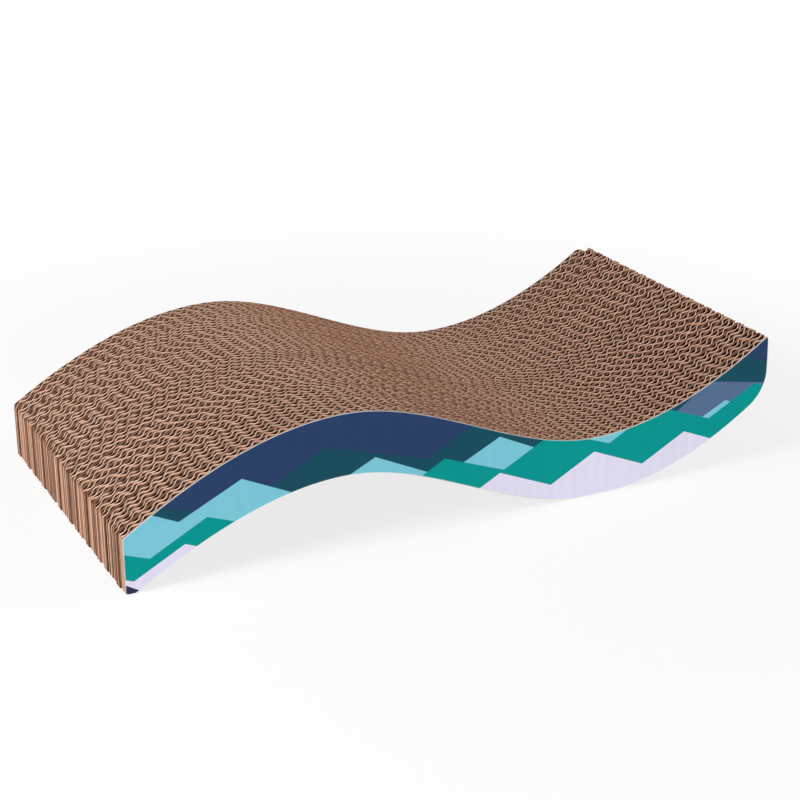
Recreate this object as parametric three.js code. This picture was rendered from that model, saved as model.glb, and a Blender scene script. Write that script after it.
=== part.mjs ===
// Wave-shaped cat scratcher: a glued stack of die-cut corrugated board strips between two printed side sheets.
// Millimetres, +Z up. The origin is on the floor under the middle of the block, +X runs along its length
// towards the raised end and -Y faces the front side sheet.

import * as THREE from "three";

// Stack across the width
const STRIP_COUNT = 51;
const STRIP_THICKNESS = 4.4;
const GLUE_LINE = 0.1;
const SHEET_THICKNESS = 0.5;

// Wave outline of the front strip, as seen from the front
const LENGTH = 440.5;
const BLOCK_DEPTH = 39.5;
const CREST_HEIGHT = 86;
const CREST_FROM_LOW_END = 136.8;
const BELLY_FROM_RAISED_END = 131.7;
const LOW_END_HEIGHT = 35;
const LOW_END_SLOPE = 0.67;
const RAISED_END_HEIGHT = 86.9;
const RAISED_END_SLOPE = 0.68;
const RAISED_END_LEAN = 1.6;

// Corner rounds, and the two flats that the block stands on
const LOW_END_ROUND = 2.5;
const FOOT_ROUND = 2;
const FOOT_FLAT = 2.8;
const HEEL_ROUND = 4;
const HEEL_SLOPE = 0.62;
const BELLY_FLAT = 12;
const RAISED_TIP_ROUND = 1.2;
const RAISED_CHIN_ROUND = 29;

// The printed sheets stop this far inside the strips' outline, so that they don't touch the floor
const SHEET_INSET = 0.3;

// Strips are laid by hand, so their ends step in and out by up to this much
const END_STAGGER = 0.8;
const STAGGER_TURN = THREE.MathUtils.degToRad(137.5);

// The raised end is cut out of square: the strip at the back is longer than the front one by this much.
// The tips of the last strips, at the far corner, are worn round.
const RAISED_END_DRIFT = 3;
const WORN_TIP_COUNT = 2;
const WORN_TIP_ROUND = 5;

// Longest chord on the long curves and largest turn from chord to chord on the corner rounds
const CURVE_CHORD = 20;
const ROUND_TURN = THREE.MathUtils.degToRad(24);

const KRAFT_COLOUR = 0xb58d74;
const KRAFT_ROUGHNESS = 0.9;
const PRINT_COLOUR = 0x2a4468;
const PRINT_ROUGHNESS = 0.55;

const point = (x, z) => new THREE.Vector2(x, z);
const slopeDirection = (slope) => point(1, slope).normalize();

// How far from a corner its round of the given radius meets the two sides
function roundReach(from, to, radius) {
  return radius / Math.tan(Math.acos(from.dot(to)) / 2);
}

// Points of the arc that rounds a corner, from the side along `from` to the side along `to`
function roundedCorner(corner, from, to, radius) {
  const opening = Math.acos(from.dot(to));
  const start = corner.clone().addScaledVector(from, roundReach(from, to, radius));
  const inward = from.clone().add(to).normalize();
  const centre = corner.clone().addScaledVector(inward, radius / Math.sin(opening / 2));
  const turn = Math.PI - opening;
  const sense = Math.sign(from.y * to.x - from.x * to.y);
  const steps = Math.max(2, Math.ceil(turn / ROUND_TURN));
  return Array.from({ length: steps + 1 }, (_, step) =>
    start.clone().rotateAround(centre, (sense * turn * step) / steps));
}

// Points strictly between two knots of a curve that leaves and reaches them at the given slopes
function easedCurve(start, startSlope, end, endSlope) {
  const third = (end.x - start.x) / 3;
  const curve = new THREE.CubicBezierCurve(
    start,
    point(start.x + third, start.y + third * startSlope),
    point(end.x - third, end.y - third * endSlope),
    end,
  );
  const steps = Math.max(2, Math.ceil(curve.getLength() / CURVE_CHORD));
  return curve.getPoints(steps).slice(1, -1);
}

// Closed wave outline, run anticlockwise from the foot and drawn in by `inset` on every side. Its raised end
// reaches `extra` further than the front strip's, with the given round at the tip.
function waveOutline(inset, extra, tipRound) {
  const lowEnd = -LENGTH / 2 + inset;
  const raisedEnd = LENGTH / 2 + extra - inset;
  const floor = inset;
  const crest = -LENGTH / 2 + CREST_FROM_LOW_END;
  const belly = LENGTH / 2 - BELLY_FROM_RAISED_END;
  const up = point(0, 1);
  const down = point(0, -1);
  const left = point(-1, 0);
  const right = point(1, 0);
  const lowRise = slopeDirection(LOW_END_SLOPE);
  const heelRise = slopeDirection(HEEL_SLOPE);
  const raisedFall = slopeDirection(RAISED_END_SLOPE).negate();

  const hump = point(crest, CREST_HEIGHT - inset);
  const hollow = point(belly, BLOCK_DEPTH - inset);
  const archTop = point(crest, CREST_HEIGHT - BLOCK_DEPTH + inset);
  const bellyLeft = point(belly - BELLY_FLAT / 2, floor);
  const bellyRight = point(belly + BELLY_FLAT / 2, floor);

  const heelX = lowEnd + FOOT_ROUND + FOOT_FLAT + roundReach(left, heelRise, HEEL_ROUND);
  const endHeight = RAISED_END_HEIGHT + extra * RAISED_END_SLOPE;
  const tipCorner = point(raisedEnd - RAISED_END_LEAN, endHeight - inset);
  const chinCorner = point(raisedEnd, endHeight + RAISED_END_LEAN * RAISED_END_SLOPE - BLOCK_DEPTH + inset);
  const endRise = tipCorner.clone().sub(chinCorner).normalize();
  const toe = roundedCorner(point(lowEnd, floor), up, right, FOOT_ROUND);
  const heel = roundedCorner(point(heelX, floor), left, heelRise, HEEL_ROUND);
  const chin = roundedCorner(chinCorner, raisedFall, endRise, RAISED_CHIN_ROUND);
  const tip = roundedCorner(tipCorner, endRise.clone().negate(), raisedFall, tipRound);
  const brow = roundedCorner(point(lowEnd, LOW_END_HEIGHT - inset), lowRise, down, LOW_END_ROUND);

  const underside = [
    ...easedCurve(heel.at(-1), HEEL_SLOPE, archTop, 0),
    archTop,
    ...easedCurve(archTop, 0, bellyLeft, 0),
    bellyLeft,
    bellyRight,
    ...easedCurve(bellyRight, 0, chin[0], RAISED_END_SLOPE),
  ];
  const topSide = [
    ...easedCurve(brow[0], LOW_END_SLOPE, hump, 0),
    hump,
    ...easedCurve(hump, 0, hollow, 0),
    hollow,
    ...easedCurve(hollow, 0, tip.at(-1), RAISED_END_SLOPE),
  ];
  return [...toe, ...heel, ...underside, ...chin, ...tip, ...topSide.reverse(), ...brow];
}

// One upright layer of the stack, cut to an outline, with its front face at frontY
function layer(name, outline, thickness, frontY, shift, colour, roughness) {
  const geometry = new THREE.ExtrudeGeometry(new THREE.Shape(outline), { depth: thickness, bevelEnabled: false });
  const material = new THREE.MeshStandardMaterial({ color: colour, roughness, metalness: 0 });
  const mesh = new THREE.Mesh(geometry, material);
  mesh.name = name;
  mesh.rotation.x = Math.PI / 2;
  mesh.position.set(shift, frontY + thickness, 0);
  return mesh;
}

const stackWidth = STRIP_COUNT * STRIP_THICKNESS + (STRIP_COUNT - 1) * GLUE_LINE;
const stackFront = -stackWidth / 2;

function corrugatedStrip(index) {
  const name = `corrugated_strip_${String(index + 1).padStart(2, "0")}`;
  const frontY = stackFront + index * (STRIP_THICKNESS + GLUE_LINE);
  const shift = END_STAGGER * Math.sin(index * STAGGER_TURN);
  const extra = (RAISED_END_DRIFT * index) / (STRIP_COUNT - 1);
  const tipRound = index < STRIP_COUNT - WORN_TIP_COUNT ? RAISED_TIP_ROUND : WORN_TIP_ROUND;
  const outline = waveOutline(0, extra, tipRound);
  return layer(name, outline, STRIP_THICKNESS, frontY, shift, KRAFT_COLOUR, KRAFT_ROUGHNESS);
}

function printedSheet(name, frontY, extra, tipRound) {
  const outline = waveOutline(SHEET_INSET, extra, tipRound);
  return layer(name, outline, SHEET_THICKNESS, frontY, 0, PRINT_COLOUR, PRINT_ROUGHNESS);
}

const scratcher = new THREE.Group();
scratcher.name = "wave_cat_scratcher";
scratcher.add(printedSheet("printed_sheet_front", stackFront - GLUE_LINE - SHEET_THICKNESS, 0, RAISED_TIP_ROUND));
for (let index = 0; index < STRIP_COUNT; index += 1) {
  scratcher.add(corrugatedStrip(index));
}
const stackBack = stackFront + stackWidth;
scratcher.add(printedSheet("printed_sheet_back", stackBack + GLUE_LINE, RAISED_END_DRIFT, WORN_TIP_ROUND));

// The ends aren't alike, so the block is moved to stand with its middle over the origin
const middle = new THREE.Box3().setFromObject(scratcher).getCenter(new THREE.Vector3());
for (const piece of scratcher.children) {
  piece.position.x -= middle.x;
}

export default scratcher;
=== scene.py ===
"""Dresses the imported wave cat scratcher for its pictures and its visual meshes.

Every corrugated strip gets its two liners and the fluted sheet between them, with the cells open on top and
underneath, and the two side sheets get their print. Metres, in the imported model's own frame.
"""

from __future__ import annotations

import logging
import math
import random
from dataclasses import dataclass
from enum import Enum
from itertools import accumulate
from typing import Any

import bpy
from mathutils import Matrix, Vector
from mathutils.geometry import interpolate_bezier


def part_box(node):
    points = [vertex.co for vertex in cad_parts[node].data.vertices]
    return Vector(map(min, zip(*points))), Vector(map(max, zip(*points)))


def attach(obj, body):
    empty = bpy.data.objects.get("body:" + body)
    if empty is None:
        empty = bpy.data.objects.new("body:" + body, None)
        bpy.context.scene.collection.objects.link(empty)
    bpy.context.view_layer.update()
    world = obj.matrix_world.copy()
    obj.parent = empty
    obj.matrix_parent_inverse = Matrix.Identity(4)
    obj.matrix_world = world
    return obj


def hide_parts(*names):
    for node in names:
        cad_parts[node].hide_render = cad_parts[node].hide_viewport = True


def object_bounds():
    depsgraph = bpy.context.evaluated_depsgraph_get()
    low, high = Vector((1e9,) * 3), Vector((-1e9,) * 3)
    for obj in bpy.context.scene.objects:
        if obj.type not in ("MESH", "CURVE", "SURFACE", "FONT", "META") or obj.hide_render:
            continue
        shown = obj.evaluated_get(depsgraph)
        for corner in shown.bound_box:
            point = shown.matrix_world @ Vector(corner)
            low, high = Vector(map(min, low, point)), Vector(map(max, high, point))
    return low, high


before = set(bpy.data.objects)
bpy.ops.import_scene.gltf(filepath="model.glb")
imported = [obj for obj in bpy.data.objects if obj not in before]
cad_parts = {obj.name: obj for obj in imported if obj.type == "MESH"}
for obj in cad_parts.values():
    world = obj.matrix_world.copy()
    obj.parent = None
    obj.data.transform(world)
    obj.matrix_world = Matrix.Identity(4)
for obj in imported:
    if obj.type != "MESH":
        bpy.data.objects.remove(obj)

CAD_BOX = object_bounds()
MM = 0.001
TURN = 2 * math.pi
FLUTE_PITCH = 8.33 * MM
FINE_DETAIL = 3.0
LOG = logging.getLogger("wave_scratcher")

Colour = tuple[float, float, float, float]
WHITE: Colour = (1.0, 1.0, 1.0, 1.0)


def screen_colour(red: int, green: int, blue: int) -> Colour:
    """Turns a colour as a screen shows it into the linear values that a shader takes.

    Args:
        red: red from 0 to 255.
        green: green from 0 to 255.
        blue: blue from 0 to 255.

    Returns:
        The linear colour with full alpha.
    """
    # The numbers below are those of the sRGB curve
    shares = [value / 255 for value in (red, green, blue)]
    linear = [share / 12.92 if share <= 0.04045 else ((share + 0.055) / 1.055) ** 2.4 for share in shares]
    return (linear[0], linear[1], linear[2], 1.0)


class Term:
    """A number that a node tree works out, used like a Python number."""

    def __init__(self, graph: Graph, socket: bpy.types.NodeSocket) -> None:
        """Wraps an output socket of the graph."""
        self.graph = graph
        self.socket = socket

    def __add__(self, other: Number) -> Term:
        """Adds another number."""
        return self.graph.math("ADD", self, other)

    def __radd__(self, other: float) -> Term:
        """Adds this to a plain number."""
        return self.graph.math("ADD", other, self)

    def __sub__(self, other: Number) -> Term:
        """Takes another number away."""
        return self.graph.math("SUBTRACT", self, other)

    def __rsub__(self, other: float) -> Term:
        """Takes this away from a plain number."""
        return self.graph.math("SUBTRACT", other, self)

    def __mul__(self, other: Number) -> Term:
        """Multiplies by another number."""
        return self.graph.math("MULTIPLY", self, other)

    def __rmul__(self, other: float) -> Term:
        """Multiplies a plain number by this."""
        return self.graph.math("MULTIPLY", other, self)

    def __truediv__(self, other: Number) -> Term:
        """Divides by another number."""
        return self.graph.math("DIVIDE", self, other)

    def __rtruediv__(self, other: float) -> Term:
        """Divides a plain number by this."""
        return self.graph.math("DIVIDE", other, self)

    def __lt__(self, other: Number) -> Term:
        """Gives 1 where this is below the other number, else 0."""
        return self.graph.math("LESS_THAN", self, other)

    def __gt__(self, other: Number) -> Term:
        """Gives 1 where this is above the other number, else 0."""
        return self.graph.math("GREATER_THAN", self, other)

    def least(self, other: Number) -> Term:
        """Gives the smaller of the two numbers."""
        return self.graph.math("MINIMUM", self, other)

    def most(self, other: Number) -> Term:
        """Gives the larger of the two numbers."""
        return self.graph.math("MAXIMUM", self, other)

    def floor(self) -> Term:
        """Rounds down to a whole number."""
        return self.graph.math("FLOOR", self)

    def fraction(self) -> Term:
        """Gives what is above the whole number."""
        return self.graph.math("FRACT", self)

    def sine(self) -> Term:
        """Gives the sine of an angle in radians."""
        return self.graph.math("SINE", self)


Number = Term | float


class Graph:
    """A shader or geometry node tree that is being built."""

    def __init__(self, tree: bpy.types.NodeTree) -> None:
        """Takes a tree and empties it."""
        self.tree = tree
        self.tree.nodes.clear()

    def node(
        self,
        kind: str,
        settings: dict[str, Any] | None = None,
        sockets: dict[str, Any] | None = None,
    ) -> bpy.types.Node:
        """Adds a node of any type.

        Args:
            kind: the node's type.
            settings: its properties, which are set first.
            sockets: a value, a Term or an output socket for each named input.

        Returns:
            The new node.
        """
        made = self.tree.nodes.new(kind)
        for name, value in (settings or {}).items():
            setattr(made, name, value)
        for name, value in (sockets or {}).items():
            self.feed(self.named(made.inputs, name), value)
        return made

    def named(self, sockets: Any, name: str) -> bpy.types.NodeSocket:
        """Finds the socket in use that has a name."""
        return next(socket for socket in sockets if socket.name == name and socket.enabled)

    def feed(self, socket: bpy.types.NodeSocket, value: Any) -> None:
        """Links a Term or socket to an input, or sets the input's own value.

        Args:
            socket: the input.
            value: a Term, an output socket or a plain value.
        """
        if isinstance(value, Term):
            value = value.socket
        if isinstance(value, bpy.types.NodeSocket):
            self.tree.links.new(value, socket)
        else:
            socket.default_value = value

    def term(self, made: bpy.types.Node, name: str) -> Term:
        """Takes a node's named output as a number."""
        return Term(self, self.named(made.outputs, name))

    def math(self, operation: str, *values: Number) -> Term:
        """Adds a Math node.

        Args:
            operation: what the node does.
            values: its numbers, in order.

        Returns:
            The node's result.
        """
        made = self.node("ShaderNodeMath", {"operation": operation})
        for socket, value in zip(made.inputs, values):
            self.feed(socket, value)
        return Term(self, made.outputs[0])

    def axes(self, vector: bpy.types.NodeSocket) -> tuple[Term, Term, Term]:
        """Splits a vector into its three numbers."""
        made = self.node("ShaderNodeSeparateXYZ", sockets={"Vector": vector})
        return tuple(Term(self, socket) for socket in made.outputs)

    def vector(self, x: Number, y: Number, z: Number) -> bpy.types.NodeSocket:
        """Joins three numbers into a vector."""
        return self.node("ShaderNodeCombineXYZ", sockets={"X": x, "Y": y, "Z": z}).outputs[0]

    def noise(self, place: bpy.types.NodeSocket, scale: float, detail: float = 2.0) -> Term:
        """Gives smooth noise from 0 to 1.

        Args:
            place: the point that it is read at.
            scale: how many lumps fit in a unit of length.
            detail: how many finer octaves are added.

        Returns:
            The noise as a number.
        """
        made = self.node("ShaderNodeTexNoise", sockets={"Vector": place, "Scale": scale, "Detail": detail})
        return Term(self, made.outputs[0])

    def ramp(self, value: Term, low: float, high: float) -> Term:
        """Eases a number from 0 to 1.

        Args:
            value: the number.
            low: where the result leaves 0.
            high: where it reaches 1.

        Returns:
            The eased number.
        """
        sockets = {"Value": value, "From Min": low, "From Max": high}
        made = self.node("ShaderNodeMapRange", {"interpolation_type": "SMOOTHSTEP"}, sockets)
        return self.term(made, "Result")

    def mix(self, factor: Number, first: Any, second: Any, blend: str = "MIX") -> bpy.types.NodeSocket:
        """Mixes two colours.

        Args:
            factor: 0 gives the first colour, 1 the second.
            first: a colour or a socket.
            second: a colour or a socket.
            blend: how the second goes on the first.

        Returns:
            The socket with the mixed colour.
        """
        settings = {"data_type": "RGBA", "blend_type": blend}
        made = self.node("ShaderNodeMix", settings, {"Factor": factor, "A": first, "B": second})
        return self.named(made.outputs, "Result")

    def grey(self, value: Term) -> bpy.types.NodeSocket:
        """Makes a grey colour of a number, to multiply another colour by."""
        sockets = {"Red": value, "Green": value, "Blue": value}
        return self.node("ShaderNodeCombineColor", sockets=sockets).outputs[0]

    def coat(self, sockets: dict[str, Any]) -> None:
        """Ends a material with a Principled surface that has the given inputs."""
        surface = self.node("ShaderNodeBsdfPrincipled", sockets=sockets)
        self.node("ShaderNodeOutputMaterial", sockets={"Surface": surface.outputs[0]})

    def blend(self, factor: Term, first: bpy.types.Node, second: bpy.types.Node) -> bpy.types.NodeSocket:
        """Mixes two shaders.

        Args:
            factor: 0 gives the first shader, 1 the second.
            first: node of the first shader.
            second: node of the second shader.

        Returns:
            The socket with the mixed shader.
        """
        both = self.node("ShaderNodeMixShader", sockets={"Fac": factor})
        self.feed(both.inputs[1], first.outputs[0])
        self.feed(both.inputs[2], second.outputs[0])
        return both.outputs[0]


def new_material(name: str) -> tuple[bpy.types.Material, Graph]:
    """Makes an empty node material.

    Args:
        name: the material's name.

    Returns:
        The material and the graph of its nodes.
    """
    material = bpy.data.materials.new(name)
    material.use_nodes = True
    return material, Graph(material.node_tree)


def cut_depths(graph: Graph) -> tuple[Term, Term]:
    """Works out how far inside the cut edges a point of a layer lies.

    Args:
        graph: the finish's node graph.

    Returns:
        The distance to the edge above or below, and the one to the nearer end.
    """
    place = graph.node("ShaderNodeAttribute", {"attribute_name": "cut_place"})
    share, height, to_end = graph.axes(place.outputs["Vector"])
    return share.least(1 - share) * height, to_end


@dataclass(frozen=True)
class KraftFinish:
    """Brown kraft paper of the liners and flutes, pale where it is cut, with painted shade inside the cells
    that deepens below the cut edges.
    """

    name: str = "kraft_board"
    flute_edge: Colour = screen_colour(226, 193, 173)
    liner_edge: Colour = screen_colour(200, 165, 143)
    cut_end: Colour = screen_colour(224, 187, 164)
    end_paper: Colour = screen_colour(186, 142, 116)
    flute_wall: Colour = screen_colour(186, 143, 118)
    # The liner walls are painted darker than the flute walls: painted shade in the cells over the liner
    # paper's own colour
    liner_paper_and_shade: Colour = screen_colour(150, 101, 74)
    # Painted shade: the colour that the cell walls darken to deep below the cut edges
    painted_cell_shade: Colour = screen_colour(72, 32, 15)
    strip_pitch: float = 4.5 * MM
    edge_depth: float = 0.05 * MM
    # How far below the cut edges the painted shade takes to reach full strength
    cell_shade_depth: float = 1.2 * MM
    end_depth: float = 1.4 * MM
    blotch_scale: float = 60.0
    fibre_scale: float = 1600.0
    # The height counts for less in the fibres' noise, so that they are drawn out upwards
    fibre_height_share: float = 0.25
    fresh_scale: float = 450.0
    fresh_low: float = 0.38
    fresh_high: float = 0.6
    worn_paleness: float = 0.4
    base_tone: float = 0.72
    blotch_tone: float = 0.2
    fibre_tone: float = 0.26
    strip_tone: float = 0.12
    bump_strength: float = 0.35
    bump_height: float = 0.15 * MM
    roughness: float = 0.9
    blotch_roughness: float = 0.12
    gloss: float = 0.0

    def build(self) -> bpy.types.Material:
        """Makes the material.

        Returns:
            The finished material.
        """
        material, graph = new_material(self.name)
        place = graph.node("ShaderNodeTexCoord").outputs["Object"]
        x, y, z = graph.axes(place)
        strip_number = (y / self.strip_pitch).floor()
        strip_draw = graph.node("ShaderNodeTexWhiteNoise", {"noise_dimensions": "1D"}, {"W": strip_number})
        blotches = graph.noise(place, self.blotch_scale, FINE_DETAIL)
        drawn_out = graph.vector(x, y, z * self.fibre_height_share)
        fibres = graph.noise(drawn_out, self.fibre_scale, FINE_DETAIL)
        depth, to_end = cut_depths(graph)
        fluted = graph.term(graph.node("ShaderNodeAttribute", {"attribute_name": "fluted"}), "Fac")
        # Liner walls get the darker colour, as painted shade in the cells over the paper's own colour
        colour = graph.mix(fluted, self.liner_paper_and_shade, self.flute_wall)
        # Painted shade: the walls darken with depth below the cut edges, standing in for the shade inside
        # the cells
        colour = graph.mix(graph.ramp(depth, 0.0, self.cell_shade_depth), colour, self.painted_cell_shade)
        edge = graph.mix(fluted, self.liner_edge, self.flute_edge)
        fresh = graph.ramp(graph.noise(place, self.fresh_scale), self.fresh_low, self.fresh_high)
        at_edge = 1 - graph.ramp(depth, 0.0, self.edge_depth)
        paleness = self.worn_paleness + (1 - self.worn_paleness) * fresh
        colour = graph.mix(at_edge * paleness, colour, edge)
        # Near the open strip ends the painted shade gives way to the plain end paper colour
        colour = graph.mix(1 - graph.ramp(to_end, 0.0, self.end_depth), colour, self.end_paper)
        colour = graph.mix(1 - graph.ramp(to_end, 0.0, self.edge_depth), colour, self.cut_end)
        tone = self.base_tone + self.blotch_tone * blotches + self.fibre_tone * fibres
        tone = tone + self.strip_tone * graph.term(strip_draw, "Value")
        colour = graph.mix(1.0, colour, graph.grey(tone), "MULTIPLY")
        bump_sockets = {"Height": fibres, "Strength": self.bump_strength, "Distance": self.bump_height}
        bump = graph.node("ShaderNodeBump", sockets=bump_sockets)
        sockets = {
            "Base Color": colour,
            "Roughness": self.roughness - self.blotch_roughness * blotches,
            "Normal": bump.outputs[0],
            "Specular IOR Level": self.gloss,
        }
        graph.coat(sockets)
        return material


@dataclass(frozen=True)
class InkBand:
    """One flat ink of the print, which fills the sheet below its zigzag ridge."""

    ink: Colour
    height: float
    tilt: float
    period: float
    rise: float
    offset: float
    climb: float = 0.46

    def mask(self, graph: Graph, x: Term, z: Term) -> Term:
        """Works out where the band's ink lies.

        Args:
            graph: the print's node graph.
            x: distance along the length.
            z: height above the floor.

        Returns:
            1 below the band's ridge and 0 above it.
        """
        share = ((x + self.offset) / self.period).fraction()
        zigzag = (share / self.climb).least((1 - share) / (1 - self.climb))
        return z < zigzag * self.rise + x * self.tilt + self.height


@dataclass(frozen=True)
class PrintFinish:
    """Satin printed paper: flat inks in zigzag bands over a dark ground."""

    name: str = "zigzag_print"
    ground: Colour = screen_colour(40, 62, 99)
    # Each band's ink, then its height, tilt, period, rise and offset
    bands: tuple[InkBand, ...] = (
        InkBand(screen_colour(22, 74, 90), 50 * MM, 0.09, 124 * MM, 26 * MM, 31 * MM),
        InkBand(screen_colour(83, 107, 141), 6 * MM, 0.21, 96 * MM, 20 * MM, 63 * MM),
        InkBand(screen_colour(120, 194, 211), 33 * MM, -0.03, 84 * MM, 20 * MM, 20 * MM),
        InkBand(screen_colour(0, 145, 140), 29 * MM, 0.045, 76 * MM, 17 * MM, 54 * MM),
        InkBand(screen_colour(221, 216, 236), 12 * MM, 0.02, 68 * MM, 16 * MM, 12 * MM),
        InkBand(screen_colour(44, 48, 80), -78 * MM, -0.37, 60 * MM, 8 * MM, 30 * MM),
    )
    bare_edge: Colour = screen_colour(232, 230, 228)
    bare_start: float = 0.1 * MM
    bare_depth: float = 0.4 * MM
    bare_share: float = 0.6
    flute_pitch: float = FLUTE_PITCH
    grain_scale: float = 900.0
    wear_scale: float = 140.0
    # The height counts for less in the wear's noise, so that it runs up and down the flutes
    wear_height_share: float = 0.15
    base_tone: float = 0.94
    grain_tone: float = 0.06
    wear_tone: float = 0.05
    rib_tone: float = 0.01
    grain_bump: float = 0.4
    bump_strength: float = 0.12
    bump_height: float = 0.2 * MM
    roughness: float = 0.6
    wear_roughness: float = 0.12
    gloss: float = 0.05

    def build(self) -> bpy.types.Material:
        """Makes the material.

        Returns:
            The finished material.
        """
        material, graph = new_material(self.name)
        place = graph.node("ShaderNodeTexCoord").outputs["Object"]
        x, _, z = graph.axes(place)
        colour = self.ground
        for band in self.bands:
            colour = graph.mix(band.mask(graph, x, z), colour, band.ink)
        grain = graph.noise(place, self.grain_scale, FINE_DETAIL)
        ribs = (x * (TURN / self.flute_pitch)).sine()
        wear = graph.noise(graph.vector(x, 0.0, z * self.wear_height_share), self.wear_scale)
        tone = self.base_tone + self.grain_tone * grain + self.wear_tone * wear + self.rib_tone * ribs
        colour = graph.mix(1.0, colour, graph.grey(tone), "MULTIPLY")
        depth, to_end = cut_depths(graph)
        edge = 1 - graph.ramp(depth.least(to_end), self.bare_start, self.bare_depth)
        colour = graph.mix(edge * self.bare_share, colour, self.bare_edge)
        relief = self.grain_bump * grain + wear
        bump_sockets = {"Height": relief, "Strength": self.bump_strength, "Distance": self.bump_height}
        bump = graph.node("ShaderNodeBump", sockets=bump_sockets)
        sockets = {
            "Base Color": colour,
            "Roughness": self.roughness + self.wear_roughness * wear,
            "Normal": bump.outputs[0],
            "Specular IOR Level": self.gloss,
        }
        graph.coat(sockets)
        return material


@dataclass(frozen=True)
class SheetPaperFinish:
    """Pale bare paper at the cut edge and on the glued side of a printed sheet."""

    name: str = "sheet_paper"
    paper: Colour = screen_colour(238, 236, 232)
    shadow: Colour = screen_colour(214, 208, 202)
    fibre_scale: float = 1200.0
    roughness: float = 0.75
    fibre_roughness: float = 0.15
    gloss: float = 0.25

    def build(self) -> bpy.types.Material:
        """Makes the material.

        Returns:
            The finished material.
        """
        material, graph = new_material(self.name)
        place = graph.node("ShaderNodeTexCoord").outputs["Object"]
        fibres = graph.noise(place, self.fibre_scale, FINE_DETAIL)
        sockets = {
            "Base Color": graph.mix(fibres, self.paper, self.shadow),
            "Roughness": self.roughness + self.fibre_roughness * fibres,
            "Specular IOR Level": self.gloss,
        }
        graph.coat(sockets)
        return material


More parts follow.
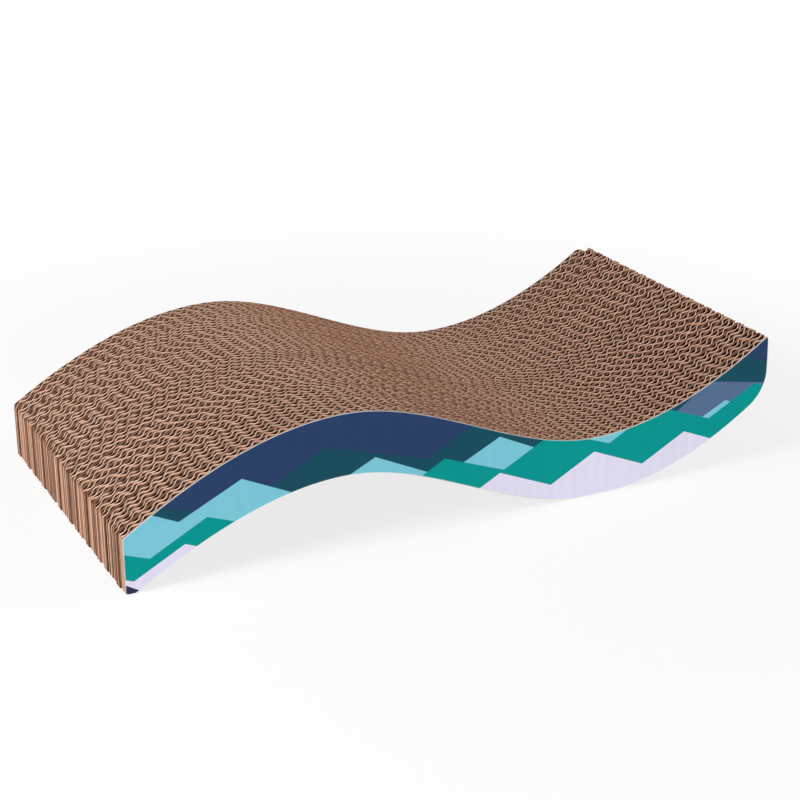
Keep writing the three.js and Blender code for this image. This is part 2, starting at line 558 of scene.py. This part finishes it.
@dataclass(frozen=True)
class WaveOutline:
    """Side view that the layers are cut to, with the sizes of the CAD strips."""

    length: float = 440.5 * MM
    depth: float = 39.5 * MM
    crest_height: float = 86 * MM
    crest_from_low_end: float = 136.8 * MM
    belly_from_raised_end: float = 131.7 * MM
    low_end_height: float = 35 * MM
    low_end_slope: float = 0.67
    raised_end_height: float = 86.9 * MM
    raised_end_slope: float = 0.68
    raised_end_lean: float = 1.6 * MM
    raised_end_drift: float = 3 * MM
    low_end_round: float = 2.5 * MM
    foot_round: float = 2 * MM
    foot_flat: float = 2.8 * MM
    heel_round: float = 4 * MM
    heel_slope: float = 0.62
    belly_flat: float = 12 * MM
    raised_tip_round: float = 1.2 * MM
    worn_tip_round: float = 5 * MM
    worn_from: float = 0.97
    raised_chin_round: float = 29 * MM
    steps: int = 60

    def round_reach(self, along: Vector, onward: Vector, radius: float) -> float:
        """Gives how far from a corner its round meets the sides."""
        return radius / math.tan(along.angle(onward) / 2)

    def round_corner(self, corner: Vector, along: Vector, onward: Vector, radius: float) -> list[Vector]:
        """Rounds a corner.

        Args:
            corner: where the two sides would meet.
            along: direction from the corner along the first side.
            onward: direction from the corner along the second side.
            radius: radius of the round.

        Returns:
            Points of the round from the first side to the second.
        """
        reach = self.round_reach(along, onward, radius)
        pull = radius * math.tan((math.pi - along.angle(onward)) / 4) * 4 / 3
        start = corner + along * reach
        end = corner + onward * reach
        return interpolate_bezier(start, start - along * pull, end - onward * pull, end, self.steps)

    def eased_curve(self, start: Vector, start_slope: float, end: Vector, end_slope: float) -> list[Vector]:
        """Joins two points by a curve with given slopes at its ends.

        Args:
            start: first point.
            start_slope: slope there.
            end: last point.
            end_slope: slope there.

        Returns:
            Points strictly between the two.
        """
        third = (end.x - start.x) / 3
        leave = start + Vector((third, third * start_slope))
        arrive = end - Vector((third, third * end_slope))
        return interpolate_bezier(start, leave, arrive, end, self.steps)[1:-1]

    def points(self, inset: float, share: float) -> list[Vector]:
        """Draws the closed outline of a layer, anticlockwise from the foot.

        Args:
            inset: how far it is drawn in on every side.
            share: how far back the layer stands in the stack, from 0 to 1.

        Returns:
            Points in x and z.
        """
        extra = self.raised_end_drift * share
        tip_round = self.raised_tip_round if share < self.worn_from else self.worn_tip_round
        low_end = inset - self.length / 2
        raised_end = self.length / 2 + extra - inset
        crest = self.crest_from_low_end - self.length / 2
        belly = self.length / 2 - self.belly_from_raised_end
        up = Vector((0, 1))
        right = Vector((1, 0))
        low_rise = Vector((1, self.low_end_slope)).normalized()
        heel_rise = Vector((1, self.heel_slope)).normalized()
        raised_fall = -Vector((1, self.raised_end_slope)).normalized()

        heel_reach = self.round_reach(-right, heel_rise, self.heel_round)
        heel_corner = Vector((low_end + self.foot_round + self.foot_flat + heel_reach, inset))
        tip_height = self.raised_end_height + extra * self.raised_end_slope
        chin_height = tip_height + self.raised_end_lean * self.raised_end_slope - self.depth
        chin_corner = Vector((raised_end, chin_height + inset))
        tip_corner = Vector((raised_end - self.raised_end_lean, tip_height - inset))
        end_rise = (tip_corner - chin_corner).normalized()
        brow_corner = Vector((low_end, self.low_end_height - inset))
        toe = self.round_corner(Vector((low_end, inset)), up, right, self.foot_round)
        heel = self.round_corner(heel_corner, -right, heel_rise, self.heel_round)
        chin = self.round_corner(chin_corner, raised_fall, end_rise, self.raised_chin_round)
        tip = self.round_corner(tip_corner, -end_rise, raised_fall, tip_round)
        brow = self.round_corner(brow_corner, low_rise, -up, self.low_end_round)

        hump = Vector((crest, self.crest_height - inset))
        hollow = Vector((belly, self.depth - inset))
        arch_top = Vector((crest, self.crest_height - self.depth + inset))
        belly_left = Vector((belly - self.belly_flat / 2, inset))
        belly_right = Vector((belly + self.belly_flat / 2, inset))
        underside = self.eased_curve(heel[-1], self.heel_slope, arch_top, 0) + [arch_top]
        underside += self.eased_curve(arch_top, 0, belly_left, 0) + [belly_left, belly_right]
        underside += self.eased_curve(belly_right, 0, chin[0], self.raised_end_slope)
        top_side = self.eased_curve(brow[0], self.low_end_slope, hump, 0) + [hump]
        top_side += self.eased_curve(hump, 0, hollow, 0) + [hollow]
        top_side += self.eased_curve(hollow, 0, tip[-1], self.raised_end_slope)
        return toe + heel + underside + chin + tip + top_side[::-1] + brow

    def cutting_die(self, name: str, inset: float, nodes: dict[str, float]) -> bpy.types.Object:
        """Makes a band along each layer's outline that the layer's heights are read from.

        Args:
            name: name of the helper object.
            inset: how far the outlines are drawn in.
            nodes: how far back each CAD node stands in the stack, from 0 to 1.

        Returns:
            The helper, which is removed once the layers are made.
        """
        rows: list[tuple[float, float, float]] = []
        quads: list[tuple[int, int, int, int]] = []
        for node, share in nodes.items():
            low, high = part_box(node)
            outline = self.points(inset, share)
            shift = low.x - min(point.x for point in outline)
            first = len(rows)
            second = first + len(outline)
            rows += [(point.x + shift, side, point.y) for side in (low.y, high.y) for point in outline]
            for place in range(len(outline)):
                after = (place + 1) % len(outline)
                quads.append((first + place, first + after, second + after, second + place))
        mesh = bpy.data.meshes.new(name)
        mesh.from_pydata(rows, [], quads)
        die = bpy.data.objects.new(name, mesh)
        bpy.context.scene.collection.objects.link(die)
        return die


class LayerTree:
    """Geometry Nodes tree for upright layers of paper that are cut to the die."""

    END_MARGIN = 0.05 * MM
    RAGGED_SCALE = 220.0
    RAGGED_ACROSS = 3.0

    def __init__(self, name: str, sizes: tuple[str, ...]) -> None:
        """Makes the tree with an input for the die and one for each named size.

        Args:
            name: the tree's name.
            sizes: names of the inputs that hold numbers.
        """
        self.tree = bpy.data.node_groups.new(name, "GeometryNodeTree")
        self.tree.interface.new_socket("Geometry", in_out="OUTPUT", socket_type="NodeSocketGeometry")
        self.graph = Graph(self.tree)
        self.keys: dict[str, str] = {}
        self.add_input("Die", "NodeSocketObject")
        for size in ("Start", "End", "Front", "Back", *sizes):
            self.add_input(size, "NodeSocketFloat")
        self.inputs = self.graph.node("NodeGroupInput")
        die = self.graph.node("GeometryNodeObjectInfo", sockets={"Object": self.inputs.outputs["Die"]})
        self.die = die.outputs["Geometry"]

    def add_input(self, name: str, kind: str) -> None:
        """Adds a named input and keeps its identifier."""
        socket = self.tree.interface.new_socket(name, in_out="INPUT", socket_type=kind)
        self.keys[name] = socket.identifier

    def size(self, name: str) -> Term:
        """Takes a named input as a number."""
        return self.graph.term(self.inputs, name)

    def ends(self) -> tuple[Term, Term]:
        """Gives where the paper starts and ends along the length."""
        return self.size("Start") + self.END_MARGIN, self.size("End") - self.END_MARGIN

    def run(self, count: int, crowding: float) -> tuple[bpy.types.NodeSocket, Term]:
        """Lays points along the length, closer together towards the ends.

        Args:
            count: how many points.
            crowding: 0 spaces them evenly, near 1 crowds them at the ends.

        Returns:
            The line, and the place along the length that each point takes.
        """
        line = self.graph.node("GeometryNodeCurvePrimitiveLine", sockets={"End": (1.0, 0.0, 0.0)})
        sockets = {"Curve": line.outputs[0], "Count": count}
        points = self.graph.node("GeometryNodeResampleCurve", sockets=sockets)
        share = self.graph.term(self.graph.node("GeometryNodeSplineParameter"), "Factor")
        eased = share - (share * TURN).sine() * (crowding / TURN)
        start, end = self.ends()
        return points.outputs[0], start + (end - start) * eased

    def cut_height(self, x: Term, upward: bool) -> Term:
        """Reads the die's height over or under a point.

        Args:
            x: place along the length.
            upward: True looks up from below, False down from above.

        Returns:
            The height of the underside or of the top.
        """
        reach = 1.0
        away = -reach if upward else reach
        flat = self.graph.vector(x, (self.size("Front") + self.size("Back")) / 2, away)
        sockets = {
            "Target Geometry": self.die,
            "Source Position": flat,
            "Ray Direction": (0.0, 0.0, -away),
            "Ray Length": 2 * reach,
        }
        ray = self.graph.node("GeometryNodeRaycast", sockets=sockets)
        return self.graph.axes(ray.outputs["Hit Position"])[2]

    def store(self, mesh: bpy.types.NodeSocket, name: str, kind: str, value: Any) -> bpy.types.NodeSocket:
        """Stores a value at each point of a mesh.

        Args:
            mesh: the mesh.
            name: name of the attribute that holds the value.
            kind: the attribute's data type.
            value: the value, as a plain number or a socket.

        Returns:
            The mesh with the attribute.
        """
        settings = {"data_type": kind, "domain": "POINT"}
        sockets = {"Geometry": mesh, "Name": name, "Value": value}
        return self.graph.node("GeometryNodeStoreNamedAttribute", settings, sockets).outputs[0]

    def paper(
        self,
        line: bpy.types.NodeSocket,
        x: Term,
        y: Term,
        thickness: Term,
        ragged: Number,
        fluted: float = 0.0,
    ) -> bpy.types.NodeSocket:
        """Stands a sheet of paper on a line and cuts it to the die.

        Args:
            line: points along the length.
            x: place of each point along the length.
            y: place of each point across the stack.
            thickness: thickness of the paper.
            ragged: how far its cut edges fall short of the die at most.
            fluted: 1 for the fluted sheet of a strip, 0 for flat paper.

        Returns:
            The closed sheet.
        """
        graph = self.graph
        path = graph.node(
            "GeometryNodeSetPosition",
            sockets={"Geometry": line, "Position": graph.vector(x, y, 0.0)},
        )
        upright = graph.node("GeometryNodeSetCurveNormal", {"mode": "Z_UP"}, {"Curve": path.outputs[0]})
        section_sockets = {"Width": thickness, "Height": 1.0}
        section = graph.node("GeometryNodeCurvePrimitiveQuadrilateral", sockets=section_sockets)
        body = graph.node(
            "GeometryNodeCurveToMesh",
            sockets={"Curve": upright.outputs[0], "Profile Curve": section.outputs[0], "Fill Caps": True},
        )
        at_x, at_y, at_z = graph.axes(graph.node("GeometryNodeInputPosition").outputs[0])
        # The uncut sheet is one unit high round zero, so its height gives the share from edge to edge
        share = at_z + 0.5
        first, last = self.ends()
        inside = at_x.most(first).least(last)
        to_end = (inside - first).least(last - inside)
        wear_place = graph.vector(at_x, at_y * self.RAGGED_ACROSS, share)
        wear = graph.noise(wear_place, self.RAGGED_SCALE) * ragged
        low = self.cut_height(inside, True) + wear
        high = self.cut_height(inside, False) - wear
        cut_place = graph.vector(share, high - low, to_end)
        marked = self.store(body.outputs[0], "cut_place", "FLOAT_VECTOR", cut_place)
        marked = self.store(marked, "fluted", "FLOAT", fluted)
        cut_position = graph.vector(inside, at_y, low + (high - low) * share)
        cut = graph.node("GeometryNodeSetPosition", sockets={"Geometry": marked, "Position": cut_position})
        return cut.outputs[0]

    def finish(self, parts: list[bpy.types.NodeSocket]) -> bpy.types.NodeSocket:
        """Joins the layers and makes them real.

        Args:
            parts: the sheets of paper.

        Returns:
            The joined mesh.
        """
        joined = self.graph.node("GeometryNodeJoinGeometry")
        for part in reversed(parts):
            self.graph.feed(joined.inputs[0], part)
        real = self.graph.node("GeometryNodeRealizeInstances", sockets={"Geometry": joined.outputs[0]})
        return real.outputs[0]

    def paint(
        self,
        mesh: bpy.types.NodeSocket,
        material: bpy.types.Material,
        selection: Any = True,
    ) -> bpy.types.NodeSocket:
        """Sets the material of the chosen faces and gives the mesh on."""
        sockets = {"Geometry": mesh, "Selection": selection, "Material": material}
        return self.graph.node("GeometryNodeSetMaterial", sockets=sockets).outputs[0]

    def output(self, mesh: bpy.types.NodeSocket) -> None:
        """Makes a mesh the result of the tree."""
        self.graph.node("NodeGroupOutput", sockets={"Geometry": mesh})

    def make(self, name: str, node: str, values: dict[str, Any]) -> bpy.types.Object:
        """Makes an object that carries the tree.

        Args:
            name: the object's name.
            node: the CAD node whose length and width it takes.
            values: a value for each other named input.

        Returns:
            The object with the live modifier.
        """
        low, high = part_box(node)
        room = {"Start": low.x, "End": high.x, "Front": low.y, "Back": high.y}
        piece = bpy.data.objects.new(name, bpy.data.meshes.new(name))
        modifier = piece.modifiers.new(self.tree.name, "NODES")
        modifier.node_group = self.tree
        for key, value in (room | values).items():
            modifier[self.keys[key]] = value
        bpy.context.scene.collection.objects.link(piece)
        return piece


def settle(pieces: list[bpy.types.Object], sharp_angle: float) -> None:
    """Turns what the pieces' modifiers give into plain meshes.

    Args:
        pieces: objects with live modifiers.
        sharp_angle: edges that turn more than this stay sharp, in radians.
    """
    graph = bpy.context.evaluated_depsgraph_get()
    for piece in pieces:
        shown = piece.evaluated_get(graph)
        mesh = bpy.data.meshes.new_from_object(shown, preserve_all_data_layers=True, depsgraph=graph)
        mesh.name = piece.name
        mesh.shade_smooth()
        mesh.set_sharp_from_angle(angle=sharp_angle)
        piece.modifiers.clear()
        piece.data = mesh


@dataclass
class CorrugatedStack:
    """The glued stack of corrugated strips, with their flutes upright."""

    outline: WaveOutline
    finish: KraftFinish
    liner: float = 0.32 * MM
    fluted_sheet: float = 0.66 * MM
    flute_pitch: float = FLUTE_PITCH
    wander: float = 0.12 * MM
    wander_scale: float = 70.0
    stray: float = 0.5
    stray_scale: float = 35.0
    ragged: float = 0.12 * MM
    liner_ragged_share: float = 0.6
    liner_points: int = 260
    liner_crowding: float = 0.9
    flute_points: int = 1400
    flute_crowding: float = 0.5
    # Added to a strip's seed, so that its back liner and flutes don't wander like its front liner
    back_lane: float = 50.0
    stray_lane: float = 90.0
    phase_step: float = 0.35
    sharp_angle: float = math.radians(50)
    seed: int = 11

    def flute_phases(self, count: int) -> list[float]:
        """Draws where each strip's flutes start, which is never far from its neighbour's.

        Args:
            count: how many strips.

        Returns:
            A phase in turns for each strip.
        """
        draw = random.Random(self.seed)
        steps = [draw.uniform(-self.phase_step, self.phase_step) for _ in range(count)]
        return list(accumulate(steps))

    def build_tree(self) -> LayerTree:
        """Builds the tree that makes one strip.

        Returns:
            The tree.
        """
        sizes = (
            "Liner",
            "Fluted Sheet",
            "Flute Pitch",
            "Flute Phase",
            "Wander",
            "Ragged",
            "Seed",
        )
        layers = LayerTree("fluted_strip", sizes)
        graph = layers.graph
        liner = layers.size("Liner")
        fluted_sheet = layers.size("Fluted Sheet")
        ragged = layers.size("Ragged")
        seed = layers.size("Seed")

        def liner_place(x: Term, front: bool) -> Term:
            """Gives the middle of a liner across the stack, which wanders a little into the strip.

            Args:
                x: place along the length.
                front: True for the front liner, False for the back one.

            Returns:
                The place across the stack.
            """
            lane = 0.0 if front else self.back_lane
            bend = graph.noise(graph.vector(x, seed + lane, 0.0), self.wander_scale) * layers.size("Wander")
            if front:
                return layers.size("Front") + liner / 2 + bend
            return layers.size("Back") - liner / 2 - bend

        line, x = layers.run(self.liner_points, self.liner_crowding)
        liner_ragged = ragged * self.liner_ragged_share
        front_liner = layers.paper(line, x, liner_place(x, True), liner, liner_ragged)
        back_liner = layers.paper(line, x, liner_place(x, False), liner, liner_ragged)

        line, x = layers.run(self.flute_points, self.flute_crowding)
        room = liner / 2 + fluted_sheet / 2
        front_limit = liner_place(x, True) + room
        back_limit = liner_place(x, False) - room
        stray = graph.noise(graph.vector(x, seed + self.stray_lane, 0.0), self.stray_scale) - 0.5
        turns = x / layers.size("Flute Pitch") + layers.size("Flute Phase") + stray * self.stray
        wave = (turns * TURN).sine()
        y = (front_limit + back_limit) / 2 + (back_limit - front_limit) / 2 * wave
        flutes = layers.paper(line, x, y, fluted_sheet, ragged, 1.0)

        mesh = layers.finish([front_liner, flutes, back_liner])
        layers.output(layers.paint(mesh, self.finish.build()))
        return layers

    def build(self) -> list[bpy.types.Object]:
        """Makes every strip in the place of its CAD node.

        Returns:
            The strips, from front to back.
        """
        nodes = sorted(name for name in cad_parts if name.startswith("corrugated_strip_"))
        phases = self.flute_phases(len(nodes))
        layers = self.build_tree()
        shares = {node: place / (len(nodes) - 1) for place, node in enumerate(nodes)}
        die = self.outline.cutting_die("strip_die", 0.0, shares)
        strips = []
        for number, (node, phase) in enumerate(zip(nodes, phases), 1):
            values = {
                "Die": die,
                "Liner": self.liner,
                "Fluted Sheet": self.fluted_sheet,
                "Flute Pitch": self.flute_pitch,
                "Flute Phase": phase,
                "Wander": self.wander,
                "Ragged": self.ragged,
                "Seed": float(number),
            }
            strips.append(layers.make(f"fluted_strip_{number:02d}", node, values))
        settle(strips, self.sharp_angle)
        bpy.data.objects.remove(die)
        for strip, node in zip(strips, nodes):
            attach(strip, "root")
            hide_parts(node)
        return strips


class Side(Enum):
    """The two long sides, by the direction that their sheets face."""

    FRONT = -1.0
    BACK = 1.0


@dataclass
class PrintedSheets:
    """The thin printed sheets glued to the two long sides."""

    outline: WaveOutline
    print_finish: PrintFinish
    paper_finish: SheetPaperFinish
    inset: float = 0.3 * MM
    flute_pitch: float = FLUTE_PITCH
    washboard: float = 0.03 * MM
    points: int = 700
    crowding: float = 0.6
    facing_limit: float = 0.5
    sharp_angle: float = math.radians(40)

    def build_tree(
        self,
        side: Side,
        print_material: bpy.types.Material,
        paper: bpy.types.Material,
    ) -> LayerTree:
        """Builds the tree that makes one sheet.

        Args:
            side: which side the print faces.
            print_material: material of the printed face.
            paper: material of the edges and the glued face.

        Returns:
            The tree.
        """
        layers = LayerTree(f"printed_sheet_{side.name.lower()}", ("Flute Pitch", "Washboard"))
        graph = layers.graph
        line, x = layers.run(self.points, self.crowding)
        washboard = layers.size("Washboard")
        ribs = (x / layers.size("Flute Pitch") * TURN).sine() * (washboard / 2)
        thickness = layers.size("Back") - layers.size("Front") - washboard
        y = (layers.size("Back") + layers.size("Front")) / 2 + ribs
        mesh = layers.finish([layers.paper(line, x, y, thickness, 0.0)])
        facing = graph.axes(graph.node("GeometryNodeInputNormal").outputs[0])[1] * side.value
        mesh = layers.paint(mesh, paper)
        layers.output(layers.paint(mesh, print_material, facing > self.facing_limit))
        return layers

    def build(self) -> list[bpy.types.Object]:
        """Makes both sheets in the places of their CAD nodes.

        Returns:
            The two sheets.
        """
        print_material = self.print_finish.build()
        paper = self.paper_finish.build()
        nodes = {f"printed_sheet_{side.name.lower()}": (side.value + 1) / 2 for side in Side}
        die = self.outline.cutting_die("sheet_die", self.inset, nodes)
        sheets = []
        for side, node in zip(Side, nodes):
            values = {
                "Die": die,
                "Flute Pitch": self.flute_pitch,
                "Washboard": self.washboard,
            }
            layers = self.build_tree(side, print_material, paper)
            sheets.append(layers.make(f"side_print_{side.name.lower()}", node, values))
        settle(sheets, self.sharp_angle)
        bpy.data.objects.remove(die)
        for sheet, node in zip(sheets, nodes):
            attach(sheet, "root")
            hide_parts(node)
        return sheets


@dataclass(frozen=True)
class Lamp:
    """A square soft box."""

    name: str
    place: tuple[float, float, float]
    size: float
    power: float

    def build(self, target: Vector) -> None:
        """Hangs the lamp and points it.

        Args:
            target: the point that it faces.
        """
        light = bpy.data.lights.new(self.name, "AREA")
        light.shape = "SQUARE"
        light.size = self.size
        light.energy = self.power
        lamp = bpy.data.objects.new(self.name, light)
        lamp.location = self.place
        lamp.rotation_euler = (target - Vector(self.place)).to_track_quat("-Z", "Y").to_euler()
        bpy.context.scene.collection.objects.link(lamp)


@dataclass
class Studio:
    """Pale floor, soft light and the camera."""

    floor_half: float = 6.0
    floor_colour: Colour = (0.86, 0.86, 0.86, 1.0)
    floor_lift: float = 0.8
    fade_start: float = 0.25
    fade_end: float = 0.7
    ambient: float = 0.08
    # Each lamp's name, place, size and power
    lamps: tuple[Lamp, ...] = (
        Lamp("left_softbox", (-1.6, -0.3, 0.95), 0.6, 38.5),
        Lamp("top_softbox", (-0.35, 0.2, 1.55), 1.0, 1.8),
        Lamp("right_softbox", (1.5, -0.2, 0.65), 0.6, 12.5),
        Lamp("front_softbox", (0.5, -1.8, 0.22), 0.4, 13.2),
        Lamp("back_softbox", (-0.5, 1.8, 0.22), 0.4, 9.0),
    )
    camera_place: tuple[float, float, float] = (-0.47492, -0.96911, 0.45798)
    camera_turn: float = math.radians(26.5)
    camera_dip: float = math.radians(21.19)
    focal_length: float = 78.86
    nearest_seen: float = 0.01

    def seen_directly(self, graph: Graph) -> Term:
        """Tells what the camera sees itself, or in gloss or glass, from what only lights other things.

        Args:
            graph: the node graph of the floor or the world.

        Returns:
            1 for what is seen, else 0.
        """
        path = graph.node("ShaderNodeLightPath")
        names = ("Is Camera Ray", "Is Glossy Ray", "Is Transmission Ray")
        first, second, third = (graph.term(path, name) for name in names)
        return first.most(second).most(third)

    def build_floor(self) -> None:
        """Lays the pale floor, which turns white away from the object."""
        half = self.floor_half
        corners = [(-half, -half, 0), (half, -half, 0), (half, half, 0), (-half, half, 0)]
        mesh = bpy.data.meshes.new("floor")
        mesh.from_pydata(corners, [], [(0, 1, 2, 3)])
        material, graph = new_material("pale_floor")
        matt = graph.node("ShaderNodeBsdfDiffuse", sockets={"Color": self.floor_colour})
        white = graph.node("ShaderNodeEmission", sockets={"Color": WHITE, "Strength": 1.0})
        place = graph.node("ShaderNodeTexCoord").outputs["Object"]
        distance = graph.node("ShaderNodeVectorMath", {"operation": "LENGTH"}, {"Vector": place})
        away = graph.ramp(graph.term(distance, "Value"), self.fade_start, self.fade_end)
        lift = self.floor_lift + (1 - self.floor_lift) * away
        both = graph.blend(self.seen_directly(graph) * lift, matt, white)
        graph.node("ShaderNodeOutputMaterial", sockets={"Surface": both})
        mesh.materials.append(material)
        floor = bpy.data.objects.new("floor", mesh)
        bpy.context.scene.collection.objects.link(floor)

    def build_world(self) -> None:
        """Fills the room with even light on a white background."""
        world = bpy.data.worlds.new("white_room")
        world.use_nodes = True
        graph = Graph(world.node_tree)
        even = graph.node("ShaderNodeBackground", sockets={"Color": WHITE, "Strength": self.ambient})
        white = graph.node("ShaderNodeBackground", sockets={"Color": WHITE, "Strength": 1.0})
        both = graph.blend(self.seen_directly(graph), even, white)
        graph.node("ShaderNodeOutputWorld", sockets={"Surface": both})
        bpy.context.scene.world = world

    def build_camera(self) -> None:
        """Sets up the camera at the photograph's viewpoint."""
        lens = bpy.data.cameras.new("camera")
        lens.lens = self.focal_length
        lens.clip_start = self.nearest_seen
        camera = bpy.data.objects.new("camera", lens)
        camera.location = self.camera_place
        camera.rotation_euler = (math.pi / 2 - self.camera_dip, 0.0, -self.camera_turn)
        bpy.context.scene.collection.objects.link(camera)
        bpy.context.scene.camera = camera

    def build(self) -> None:
        """Sets up everything round the object."""
        bpy.context.scene.view_settings.view_transform = "Standard"
        self.build_floor()
        self.build_world()
        target = (CAD_BOX[0] + CAD_BOX[1]) / 2
        for lamp in self.lamps:
            lamp.build(target)
        self.build_camera()


def report(pieces: list[bpy.types.Object]) -> None:
    """Logs each piece with its triangle count.

    Args:
        pieces: the pieces of one sub-assembly.
    """
    for piece in pieces:
        triangles = sum(len(face.vertices) - 2 for face in piece.data.polygons)
        LOG.info("%s: %d triangles", piece.name, triangles)


def main() -> None:
    """Builds the scratcher's pieces and the studio round them."""
    logging.basicConfig(level=logging.INFO, format="%(message)s")
    outline = WaveOutline()
    report(CorrugatedStack(outline, KraftFinish()).build())
    report(PrintedSheets(outline, PrintFinish(), SheetPaperFinish()).build())
    Studio().build()


if __name__ == "__main__":
    main()
